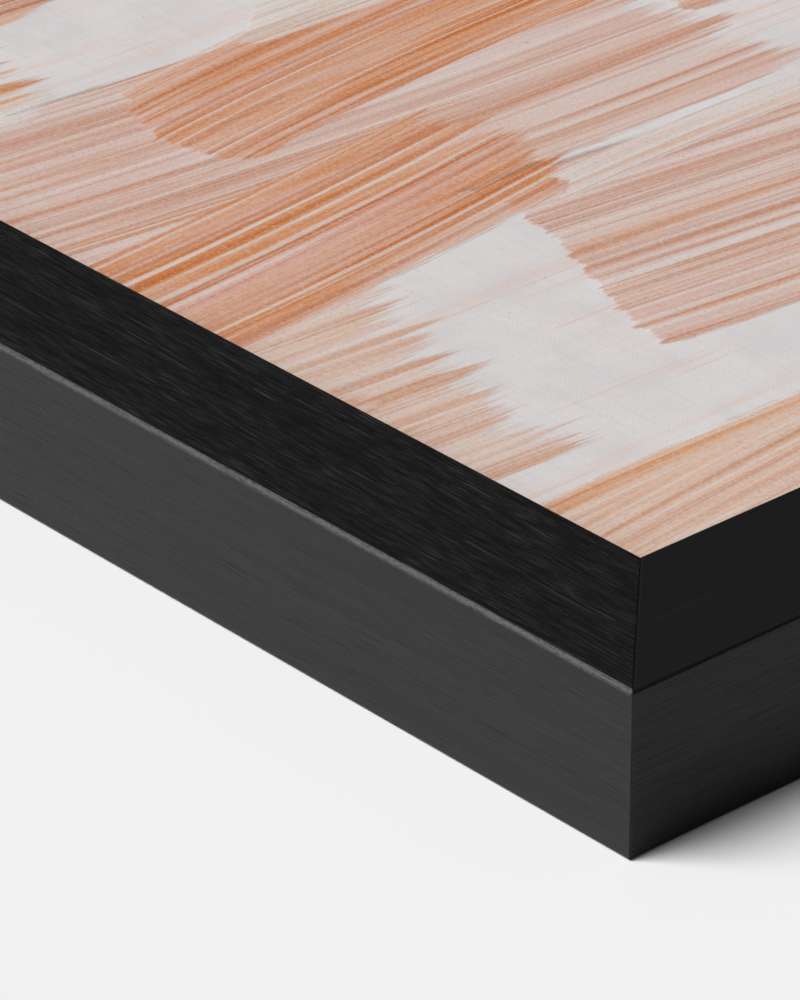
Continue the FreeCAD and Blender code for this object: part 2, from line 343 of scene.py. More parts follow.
@dataclass(frozen=True)
class MattPaint(Finish):
    """One even colour with no sheen."""

    colour: Colour

    def fill(self, g: Graph) -> None:
        """Draws the colour."""
        g.surface(Base_Color=(*self.colour, 1.0), Roughness=1.0, Specular_IOR_Level=0.0)


class Grain(Enum):
    """Which way the grain of a piece of wood runs: how far its coordinates are turned about Z."""

    ALONG_X = 0.0
    ALONG_Y = -math.pi / 2


@dataclass(frozen=True)
class Board:
    """One length of oak, with its own place in the tree.

    Its grain strays by an angle in radians. Open grain and the rubbing of its arris run from 0 to 1. Open
    grain sets how much figure and how many light flecks its face shows, the flecks partly painted glints,
    and the rubbing also sets a painted highlight on its arris. The side and face tones are painted light
    and shade: how bright its sides and its face look under the lamps. The index of refraction says how it
    took the stain, and the length how far its streaks are drawn out.
    """

    side: str
    start: Triple
    stray: float
    open_grain: float
    wear_and_highlight: float
    side_shading: float
    face_shading: float = 1.0
    length: float = 1.0
    ior: float = 1.32


@dataclass(frozen=True)
class EbonisedOak(Finish):
    """Black stain over straight open grain, its sides painted lighter than its face as painted light. Each
    span is where a mark at an edge starts and is full.
    """

    board: Board
    grain: Grain
    half_size: Span
    top: float
    # The face and side colours are painted light and shade: the sides are painted lighter than the face.
    face: Colour = (0.0068, 0.0068, 0.0067)
    side: Colour = (0.0150, 0.0146, 0.0138)
    pore: Colour = (0.0020, 0.0020, 0.0020)
    # Light marks: scratches with painted glints on the face, a painted highlight on the upright corner, and
    # a faint line by the mitre.
    worn: Colour = (0.050, 0.050, 0.049)
    # The arris's colour: rubbed wear with a painted highlight.
    rubbed_and_highlight: Colour = (0.078, 0.078, 0.076)
    bare: Colour = (0.050, 0.040, 0.031)
    rings: Noise = Noise((160, 2.2, 2.2))
    fibre: Noise = Noise((40, 0.30, 0.30))
    crowding: Noise = Noise((50, 4.0, 4.0))
    pores: Noise = Noise((13, 0.27, 0.27), 1.0)
    dashes: Noise = Noise((6.2, 0.14, 0.14), 0.0)
    scratches: Noise = Noise((16, 0.26, 0.26), 0.0)
    chafing: Noise = Noise((0.80, 0.80, 0.40), 1.0)
    joint: Span = (0.26 * MM, 0.10 * MM)
    lip: Span = (0.75 * MM, 0.35 * MM)
    corner: Span = (-0.50 * MM, -0.15 * MM)
    arris: Span = (-1.2 * MM, -0.5 * MM)
    relief: float = 0.030 * MM

    def streaks(self, g: Graph, along: Value, noise: Noise, start: Triple) -> Value:
        """Draws noise out along the board's grain, from its own place in the tree."""
        length, *widths = noise.size
        return g.noise(along, replace(noise, size=(length * self.board.length, *widths)), start)

    def edges(self, g: Graph, up: Value, facing: Value) -> tuple[Value, Value, Value, Value]:
        """Finds the rail's edges.

        Args:
            g: The graph.
            up: How far the surface faces up.
            facing: Where the rail's face is.

        Returns:
            Where the mitre's joint, the lip beside it, the frame's upright corner and its top arris are.
        """
        x, y, z = g.parts(g.object_place())
        across_x, across_y = abs(x) - self.half_size[0], abs(y) - self.half_size[1]
        mitre = abs(across_x - across_y)
        lip = mitre.rise(*self.lip) * facing * (1 - self.board.open_grain)
        # The upright corner, which is painted with a highlight.
        corner = across_x.least(across_y).rise(*self.corner) * (1 - facing)
        arris = (across_x.most(across_y) + (z - self.top)).rise(*self.arris) * up.rise(0.985, 0.90)
        return mitre.rise(*self.joint), lip, corner, arris

    def fill(self, g: Graph) -> None:
        """Draws the grain with the painted light and shade of its sides and face, then the worn marks and
        the painted highlights.

        Args:
            g: The empty graph.
        """
        board = self.board
        along = g.object_place((0.0, board.stray * 0.5, self.grain.value + board.stray))
        rings = self.streaks(g, along, self.rings, board.start)
        fibre = self.streaks(g, along, self.fibre, board.start)
        crowd = self.streaks(g, along, self.crowding, board.start).rise(0.36, 0.62)
        pores = self.streaks(g, along, self.pores, board.start).rise(0.52, 0.68)
        dashes = self.streaks(g, along, self.dashes, (board.start[2], 4.0, 9.0)).rise(0.58, 0.74)
        scratches = self.streaks(g, along, self.scratches, (6.0, board.start[1], 2.0)).rise(0.77, 0.83)
        chafing = g.noise(g.object_place(), self.chafing).rise(0.30, 0.70)

        _, _, up = g.parts(g.node("ShaderNodeTexCoord", output="Normal"))
        facing = up.rise(0.35, 0.80)
        figure = 1 - facing * (1 - board.open_grain)
        # Light flecks along the face's grain: scratches and open pores, partly painted glints, strongest
        # where the grain is most open.
        scratches_and_glints = (dashes * (0.24 + 0.26 * crowd) + scratches * 0.8) * facing * board.open_grain
        joint, lip, corner, arris = self.edges(g, up, facing)
        # The arris is painted lighter: partly rubbed wear, partly a painted highlight, set per board.
        arris = arris * (0.20 + 0.40 * pores.rise(0.9, 0.1) + 0.70 * chafing) * board.wear_and_highlight
        back = up.rise(-0.35, -0.80) * (0.35 + 0.65 * rings.rise(0.4, 0.6))

        # Painted light and shade: each board's own tones make its sides and its face lighter or darker.
        side = tuple(board.side_shading * c for c in self.side)
        face = tuple(board.face_shading * c for c in self.face)
        stained_and_shaded = g.mix(facing, side, face)
        darker = g.times(stained_and_shaded, (0.60,) * 3)
        lighter = g.times(stained_and_shaded, (1.35,) * 3)
        colour = g.coats(
            lighter,
            (rings.rise(0.30, 0.70) * figure, stained_and_shaded),
            (fibre.rise(0.42, 0.66) * figure * 0.5, darker),
            (pores * figure * (0.34 - 0.04 * facing), self.pore),
            (scratches_and_glints, self.worn),
            # Rubbed arris with a painted highlight.
            (arris, self.rubbed_and_highlight),
            # A painted highlight down the frame's upright corner.
            (corner * 0.35, self.worn),
            # A faint lighter line beside the mitre joint.
            (lip * 0.10, self.worn),
            (back * 0.6, self.bare),
            (joint, self.pore),
        )

        matt = (rings * 0.05 + fibre * 0.09 + pores * 0.14) * figure
        height = (rings * 0.3 + fibre * 0.5 - pores * 0.7) * figure
        height = height + scratches_and_glints * 0.5 + arris * chafing * 0.9 - joint * 1.5
        g.surface(
            Base_Color=colour,
            Roughness=0.20 + matt + back * 0.25 + arris * 0.14,
            IOR=board.ior,
            Normal=g.bump(height, self.relief),
        )


@dataclass(frozen=True)
class BareWood(Finish):
    """Planed wood with no finish: growth rings, fine fibre and the odd flecks of its kind."""

    grain: Grain
    start: Triple
    pale: Colour
    dark: Colour
    fleck: Colour
    ring: float = 3.2 * MM
    ring_sway: float = 22 * MM
    sway: Noise = Noise((150, 30, 30))
    fibre: Noise = Noise((20, 0.35, 0.35), 3.0, 0.6)
    flecks: Noise = Noise((4, 0.35, 0.35), 1.0)
    stain: Noise = Noise((80, 40, 40), 3.0)
    relief: float = 0.06 * MM

    def fill(self, g: Graph) -> None:
        """Draws the growth rings, the fibre and the flecks.

        Args:
            g: The empty graph.
        """
        along = g.object_place((0.02, 0.015, self.grain.value + 0.02))
        sway = g.noise(along, self.sway, self.start)
        _, y, z = g.parts(along)
        rings = ((y + z * 0.6 + sway * self.ring_sway) * (2 * math.pi / self.ring)).sine()
        late = (rings * 0.5 + 0.5).rise(0.35, 1.0)
        fibre = g.noise(along, self.fibre, self.start)
        flecks = g.noise(along, self.flecks, self.start).rise(0.62, 0.72)
        stain = g.noise(along, self.stain, self.start)
        colour = g.coats(
            self.pale,
            (late * 0.75, self.dark),
            (fibre.rise(0.35, 0.7) * 0.35, self.dark),
            (flecks * 0.5, self.fleck),
            (stain.rise(0.5, 0.8) * 0.3, self.dark),
        )
        g.surface(
            Base_Color=colour,
            Roughness=0.58 + fibre * 0.2 - late * 0.08,
            Normal=g.bump(fibre * 0.6 + late * 0.4 - flecks * 0.3, self.relief),
        )


@dataclass(frozen=True)
class RolledSteel(Finish):
    """Pressed or drawn steel with fine lines, dulled in patches about this many millimetres across."""

    colour: Colour
    dull: Colour
    roughness: float
    patch: float = 3.0
    tarnish: float = 0.5
    lines: Noise = Noise((4, 0.12, 0.12))
    relief: float = 0.012 * MM

    def fill(self, g: Graph) -> None:
        """Draws the fine lines and the dull patches.

        Args:
            g: The empty graph.
        """
        place = g.object_place()
        lines = g.noise(place, self.lines)
        patches = g.noise(place, Noise(even(self.patch), 4.0, 0.6))
        spangle = {"Vector": place, "Scale": 2 / (self.patch * MM)}
        crystals = g.node("ShaderNodeTexVoronoi", {"feature": "F1"}, spangle, "Distance")
        worn = patches.rise(0.42, 0.68) * self.tarnish
        colour = g.mix(worn, self.colour, self.dull)
        g.surface(
            Base_Color=colour,
            Metallic=1.0,
            Roughness=self.roughness + worn * 0.25 + lines * 0.10,
            Normal=g.bump(lines * 0.6 + crystals * 0.4, self.relief),
        )


@dataclass(frozen=True)
class Weave:
    """A plain weave of round threads over and under each other."""

    pitch: float = 0.52 * MM
    wander: Noise = Noise(even(6), 1.0)

    def height(self, g: Graph, place: Value) -> Value:
        """Adds the weave's height.

        Args:
            g: The graph.
            place: The coordinates on the cloth, in metres.

        Returns:
            The height, from 0 in the gaps to 1 on the crowns.
        """
        wander = g.noise(place, self.wander) * (0.5 * self.pitch)
        x, y, _ = g.parts(place)
        turn = math.pi / self.pitch
        warp = ((x + wander) * turn).sine()
        weft = ((y + wander) * turn).sine()
        return abs(warp * weft) * 0.5 + (warp * weft) * 0.5 + 0.5 - abs(warp + weft) * 0.12


@dataclass(frozen=True)
class PaintedGround(Finish):
    """White primed cloth with the brushwork of the mesh's brush layers over it."""

    layers: int
    ground: Colour = srgb(214, 210, 210)
    shade: Colour = srgb(202, 197, 198)
    stain: Colour = srgb(209, 192, 181)
    amber: Colour = srgb(209, 138, 66)
    blush: Colour = srgb(210, 166, 158)
    umber: Colour = srgb(104, 72, 56)
    glaze: Colour = srgb(215, 201, 194)
    flush: Colour = srgb(214, 183, 168)
    deeper: Triple = (0.79, 0.57, 0.42)
    bristles: Noise = Noise((160, 3.4, 1000), 2.0, 0.55)
    hairs: Noise = Noise((60, 0.85, 1000), 2.0, 0.6, (7.0, 3.0, 5.0))
    skips: Noise = Noise((14, 1.1, 1000), 3.0, 0.6, (2.0, 9.0, 1.0))
    lines: Noise = Noise((240, 1.9, 1000), 1.0, 0.5, (5.0, 1.0, 8.0))
    threads: Noise = Noise((150, 1.05, 1000), 1.0, 0.5, (8.0, 2.0, 7.0))
    pools: Noise = Noise((70, 9.0, 1000), 2.0, 0.5, (9.0, 6.0, 3.0))
    blend: Noise = Noise((200, 4.8, 1000), 2.0, 0.6, (3.0, 12.0, 6.0))
    mottle: Noise = Noise((18, 14, 14), 4.0, 0.6)
    drag: Noise = Noise((30, 1.1, 1.1))
    tooth: Noise = Noise(even(0.42))
    specks: Noise = Noise(even(1.1), 0.0)
    washes: Noise = Noise((5.2, 75, 30), 3.0, 0.6, (4.0, 1.0, 2.0))
    wisps: Noise = Noise((1.25, 55, 30), 1.0, 0.5, (2.0, 6.0, 1.0))
    grit: Noise = Noise(even(0.65), 3.0, 0.7, (5.0, 2.0, 8.0))
    motes: Noise = Noise((1.2, 0.9, 1.0), 0.0, 0.5, (1.0, 7.0, 3.0))
    relief: float = 0.11 * MM
    weave: Weave = Weave()

    def brushwork(self, g: Graph, layer: int, colour: Value) -> tuple[Value, Value, Value]:
        """Lays one layer of brush strokes over what is there.

        Args:
            g: The graph.
            layer: The layer's number.
            colour: The colour under it.

        Returns:
            The new colour, where the layer's paint lies, and the height of its ridges.
        """
        tint, cover, brush = (
            g.node("ShaderNodeAttribute", {"attribute_name": f"{name}_{layer}"}, output=output)
            for name, output in (("tint", "Color"), ("cover", "Fac"), ("brush", "Vector"))
        )
        kinds = (self.bristles, self.hairs, self.skips, self.lines, self.threads, self.pools, self.blend)
        bristles, hairs, skips, lines, threads, pools, blend = (g.noise(brush, kind) for kind in kinds)

        load = bristles * 0.45 + hairs * 0.25 + skips * 0.30
        there = (cover * 0.60 + 0.17 - load).rise(-0.045, 0.075)
        dark = g.times(tint, self.deeper)
        light = g.mix(0.62, tint, self.glaze)
        paint = g.coats(
            tint,
            (blend.rise(0.55, 0.70) * 0.50, self.amber),
            (blend.rise(0.46, 0.33) * 0.55, self.blush),
            (pools.rise(0.40, 0.66) * 0.55, light),
            (hairs.rise(0.46, 0.66) * 0.60, light),
            (bristles.rise(0.50, 0.34) * 0.50, dark),
            (lines.rise(0.58, 0.68) * 0.70, dark),
            (lines.rise(0.40, 0.31) * 0.70, self.glaze),
            (threads.rise(0.59, 0.68) * 0.70, dark),
            (threads.rise(0.39, 0.31) * 0.65, self.glaze),
        )

        thin = 0.70 + 0.30 * bristles.rise(0.62, 0.38)
        laid = g.mix(there * thin, colour, paint)
        ridges = there * (0.40 + 0.75 * hairs + 0.55 * bristles + 0.3 * lines)
        return laid, there, ridges

    def priming(self, g: Graph, place: Value, mottle: Value) -> tuple[Value, Value]:
        """Lays the white ground, with the faint washes and wisps of thin paint dragged over it.

        Args:
            g: The graph.
            place: The coordinates on the cloth, in metres.
            mottle: Its uneven tone.

        Returns:
            Its colour and its height.
        """
        weave = self.weave.height(g, place)
        drag = g.noise(place, self.drag)
        tooth = g.noise(place, self.tooth)
        specks = g.noise(place, self.specks).rise(0.77, 0.82)
        washes = g.noise(place, self.washes)
        wisps = g.noise(place, self.wisps).rise(0.62, 0.72)
        colour = g.coats(
            self.ground,
            (mottle.rise(0.40, 0.70) * 0.6, self.shade),
            (drag.rise(0.50, 0.75) * 0.35, self.shade),
            (tooth.rise(0.52, 0.72) * 0.45, self.shade),
            (specks * 0.5, self.stain),
            (washes.rise(0.50, 0.74) * 0.40, self.flush),
            (wisps * washes.rise(0.44, 0.58) * 0.55, self.flush),
        )
        return colour, weave * 0.11 + drag * 0.4 + tooth * 0.35

    def fill(self, g: Graph) -> None:
        """Draws the ground and lays the brush layers over it.

        Args:
            g: The empty graph.
        """
        place = g.object_place()
        mottle = g.noise(place, self.mottle)
        colour, height = self.priming(g, place, mottle)
        paint = None
        for layer in range(self.layers):
            colour, there, ridges = self.brushwork(g, layer, colour)
            paint = there if paint is None else paint.most(there)
            height = height * (1 - 0.45 * there) + ridges * 1.1
        grit = g.noise(place, self.grit)
        motes = g.noise(place, self.motes).rise(0.87, 0.90)
        colour = g.coats(
            colour,
            (paint * grit.rise(0.50, 0.70) * 0.32, self.ground),
            (paint * grit.rise(0.48, 0.34) * 0.16, self.umber),
            (motes * 0.5, self.umber),
        )
        g.surface(
            Base_Color=colour,
            Roughness=0.72 - paint * 0.16 + mottle * 0.06,
            Specular_IOR_Level=0.35,
            Normal=g.bump(height, self.relief, 0.8),
        )


@dataclass(frozen=True)
class RawCotton(Finish):
    """The unprimed side of the cloth: plain woven cotton with slubs and seed flecks."""

    thread: Colour = srgb(214, 202, 178)
    gap: Colour = srgb(168, 152, 124)
    seed: Colour = srgb(122, 98, 66)
    slubs: Noise = Noise((30, 0.6, 0.6))
    cross: Noise = Noise((0.6, 30, 0.6))
    seeds: Noise = Noise((1.4, 0.7, 1.0), 1.0)
    relief: float = 0.10 * MM
    weave: Weave = Weave()

    def fill(self, g: Graph) -> None:
        """Draws the threads.

        Args:
            g: The empty graph.
        """
        place = g.object_place()
        weave = self.weave.height(g, place)
        slubs = g.noise(place, self.slubs)
        cross = g.noise(place, self.cross)
        seeds = g.noise(place, self.seeds).rise(0.74, 0.80)
        # The gaps between the threads are painted darker, as painted shade in the weave's hollows; the
        # slubs take that colour as a real darker tone.
        colour = g.coats(
            self.gap,
            (weave.rise(0.2, 0.9), self.thread),
            (slubs.rise(0.56, 0.74) * 0.3, self.gap),
            (seeds * 0.7, self.seed),
        )
        height = weave * 0.8 + slubs * 0.3 + cross * 0.3
        g.surface(Base_Color=colour, Roughness=0.88 - weave * 0.08, Normal=g.bump(height, self.relief))


# ---- The carried-over wood and metal ----


def dress(node: str, material: bpy.types.Material) -> None:
    """Gives a carried-over piece its finish.

    Args:
        node: The piece's name.
        material: Its finish.
    """
    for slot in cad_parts[node].material_slots:
        slot.material = material
    LOG.info("dressed %s in %s", node, material.name)


@dataclass
class Moulding:
    """The four rails of the frame, each cut from its own length of oak."""

    boards: tuple[Board, ...] = (
        # Each board's side and face tones are painted light and shade; its open grain also sets painted
        # glints on its face, and its rubbing a painted highlight on its arris.
        Board("bottom", (3.1, 7.4, 1.9), 0.018, 1.0, 1.0, side_shading=0.86, face_shading=1.1, ior=1.30),
        Board("right", (11.7, 2.3, 5.2), -0.018, 0.12, 0.0, 0.32, face_shading=1.28, length=5.0, ior=1.25),
        Board("top", (23.9, 13.6, 8.8), 0.012, 0.8, 0.5, side_shading=0.85),
        Board("left", (31.3, 17.9, 4.1), 0.016, 0.6, 0.6, side_shading=0.80),
    )

    def finish(self) -> None:
        """Dresses each rail in its own length of oak."""
        _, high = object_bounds()
        for board in self.boards:
            grain = Grain.ALONG_X if board.side in ("bottom", "top") else Grain.ALONG_Y
            oak = EbonisedOak(board, grain, (high.x, high.y), high.z)
            dress(f"frame_rail_{board.side}", oak.make(f"ebonised_oak_{board.side}"))


@dataclass
class Stretcher:
    """The bars and keys that the cloth is stretched on."""

    pine: tuple[Colour, Colour, Colour] = (srgb(222, 190, 142), srgb(191, 146, 94), srgb(160, 110, 66))
    beech: tuple[Colour, Colour, Colour] = (srgb(206, 166, 128), srgb(184, 139, 101), srgb(139, 94, 64))
    beech_flecks: Noise = Noise((1.6, 0.22, 0.22), 1.0)

    def finish(self) -> None:
        """Dresses the bars in pine and the keys in beech, each piece with its own grain."""
        names = sorted(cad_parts)
        for number, node in enumerate(n for n in names if n.startswith("stretcher_bar")):
            grain = Grain.ALONG_X if node.endswith(("bottom", "top")) else Grain.ALONG_Y
            start = (5.0 * number, 9.0 * number, 2.0 * number)
            dress(node, BareWood(grain, start, *self.pine).make(f"pine_{number}"))
        for number, node in enumerate(n for n in names if n.startswith("corner_key")):
            bar = node.split("_")[2]
            grain = Grain.ALONG_Y if bar in ("bottom", "top") else Grain.ALONG_X
            start = (4.0 * number, 6.0 * number, 3.0 * number)
            wood = BareWood(grain, start, *self.beech, ring=2.1 * MM, flecks=self.beech_flecks)
            dress(node, wood.make(f"beech_{number}"))


@dataclass
class Ironwork:
    """The steel that fastens and hangs the picture."""

    zinc: RolledSteel = RolledSteel((0.62, 0.63, 0.64), (0.38, 0.39, 0.40), 0.30)
    nickel: RolledSteel = RolledSteel((0.70, 0.68, 0.64), (0.46, 0.43, 0.39), 0.18, 5.0, 0.35)
    brassed: RolledSteel = RolledSteel((0.66, 0.52, 0.28), (0.42, 0.32, 0.18), 0.26, 2.0)
    blued: RolledSteel = RolledSteel((0.16, 0.17, 0.19), (0.25, 0.19, 0.15), 0.38, 2.0)
    bright: RolledSteel = RolledSteel((0.50, 0.50, 0.50), (0.30, 0.27, 0.24), 0.34, 2.0)

    def finish(self) -> None:
        """Dresses each kind of steel."""
        plated = self.zinc.make("zinc_plate")
        wire = self.nickel.make("nickel_wire")
        screws = self.brassed.make("brassed_steel")
        points = self.blued.make("blued_steel")
        joiners = self.bright.make("bright_steel")
        for side in ("left", "right"):
            dress(f"hanger_strap_{side}", plated)
            dress(f"hanger_ring_{side}", wire)
        dress("hanger_screws", screws)
        dress("framing_points", points)
        dress("frame_joiners", joiners)
        dress("canvas_staples", plated)


# ---- The painted cloth ----


class Paint(Enum):
    """The colours on the brush, as linear colours."""

    PEACH = srgb(213, 179, 158)
    ROSE = srgb(208, 168, 151)
    APRICOT = srgb(212, 160, 118)
    ORANGE = srgb(206, 131, 70)
    RUST = srgb(184, 104, 52)
    CHALK = srgb(216, 210, 207)


@dataclass(frozen=True)
class Dab:
    """One stroke of a flat brush: where it lies, how long and wide it is, and its paint."""

    centre: Span
    heading: float
    half_length: float
    half_width: float
    bend: float
    paint: Paint
    seed: float
    slant: float = 5.5 * MM
    slant_turn: float = 1.9
    side_blur: float = 5 * MM
    start_blur: float = 9 * MM
    lift_share: float = 0.15
    lightening: float = 0.22

    def local(self, x: np.ndarray, y: np.ndarray) -> tuple[np.ndarray, np.ndarray]:
        """Finds places along and across the stroke.

        Args:
            x: Places along the picture.
            y: Places up the picture.

        Returns:
            The distances along the stroke and across it, from its middle.
        """
        dx, dy = x - self.centre[0], y - self.centre[1]
        along = dx * math.cos(self.heading) + dy * math.sin(self.heading)
        across = dy * math.cos(self.heading) - dx * math.sin(self.heading)
        slant = self.slant * np.sin(self.slant_turn * across / self.half_width + self.seed)
        return along + slant, across + self.bend * along**2

    def cover(self, along: np.ndarray, across: np.ndarray, lift: float) -> np.ndarray:
        """Finds how heavily the brush was pressed.

        Args:
            along: The distances along the stroke.
            across: The distances across it.
            lift: The length over which the brush leaves the cloth.

        Returns:
            The pressure, from 0 to 1.
        """
        side = smooth((self.half_width - abs(across)) / self.side_blur + 0.5)
        start = smooth((self.half_length + along) / self.start_blur + 0.5)
        end = smooth((self.half_length - along) / lift + self.lift_share)
        return side * start * end * (1.0 - self.lightening * (0.5 + along / (2 * self.half_length)))


@dataclass(frozen=True)
class BrushLayer:
    """Rows of strokes set side by side, every other row moved by half a stroke.

    The tilt is how far the strokes lean from upright. Each stroke's own stagger, sway and bow are random.
    """

    pitch: Span
    tilt: float
    paints: tuple[Paint, ...]
    filled: float
    width_share: Span
    length_share: Span
    seed: int
    stagger: float = 0.11
    sway: float = 0.10
    bow: float = 1.5

    def dabs(self, half_x: float, half_y: float) -> Iterator[Dab]:
        """Lays the strokes out over the face.

        Args:
            half_x: Half the face's length.
            half_y: Half the face's height.

        Yields:
            The strokes, column by column.
        """
        rng = np.random.default_rng(self.seed)
        columns = math.ceil(half_x / self.pitch[0]) + 1
        rows = math.ceil(half_y / self.pitch[1]) + 1
        for column, row in product(range(-columns, columns + 1), range(-rows, rows + 1)):
            roll, width, length, lean, bow, paint, seed = rng.random(7)
            if roll > self.filled:
                continue
            offset = self.pitch[1] * (0.5 * (column % 2) + self.stagger * (width - 0.5))
            yield Dab(
                centre=(column * self.pitch[0], row * self.pitch[1] + offset),
                heading=math.pi / 2 + self.tilt + self.sway * (lean - 0.5),
                half_length=0.5 * self.pitch[1] * np.interp(length, (0, 1), self.length_share),
                half_width=0.5 * self.pitch[0] * np.interp(width, (0, 1), self.width_share),
                bend=self.bow * (bow - 0.5),
                paint=self.paints[int(paint * len(self.paints))],
                seed=100.0 * seed,
            )


@dataclass
class BrushField:
    """What one layer of strokes gives each point of the cloth."""

    tint: np.ndarray
    cover: np.ndarray
    place: np.ndarray

    @classmethod
    def lay(cls, layer: BrushLayer, x: np.ndarray, y: np.ndarray, half: Span) -> "BrushField":
        """Lays a layer over these points.

        Args:
            layer: The layer.
            x: The points' places along the picture.
            y: Their places up the picture.
            half: Half the face's length and height.

        Returns:
            Each point's paint, how heavily it lies, and its place on its stroke.
        """
        count = len(x)
        tint = np.tile(np.array(Paint.PEACH.value), (count, 1))
        cover = np.zeros(count)
        place = np.zeros((count, 3))
        inside = np.full(count, -np.inf)
        for dab in layer.dabs(*half):
            along, across = dab.local(x, y)
            depth = np.minimum(dab.half_width - abs(across), dab.half_length - abs(along))
            nearer = depth > inside
            inside[nearer] = depth[nearer]
            pressed = dab.cover(along, across, 0.5 * dab.half_length)
            cover[nearer] = pressed[nearer]
            tint[nearer] = dab.paint.value
            place[nearer] = np.stack([along, across, np.full(count, dab.seed)], 1)[nearer]
        return cls(tint, cover, place)

    def store(self, mesh: bpy.types.Mesh, number: int) -> None:
        """Stores the layer on a mesh's points, as tint, cover and brush with its number.

        Args:
            mesh: The mesh.
            number: The layer's number.
        """
        tint = np.hstack([self.tint, np.ones((len(self.tint), 1))])
        for name, kind, key, values in (
            ("tint", "FLOAT_COLOR", "color", tint),
            ("cover", "FLOAT", "value", self.cover),
            ("brush", "FLOAT_VECTOR", "vector", self.place),
        ):
            stored = mesh.attributes.new(f"{name}_{number}", kind, "POINT")
            stored.data.foreach_set(key, values.ravel())


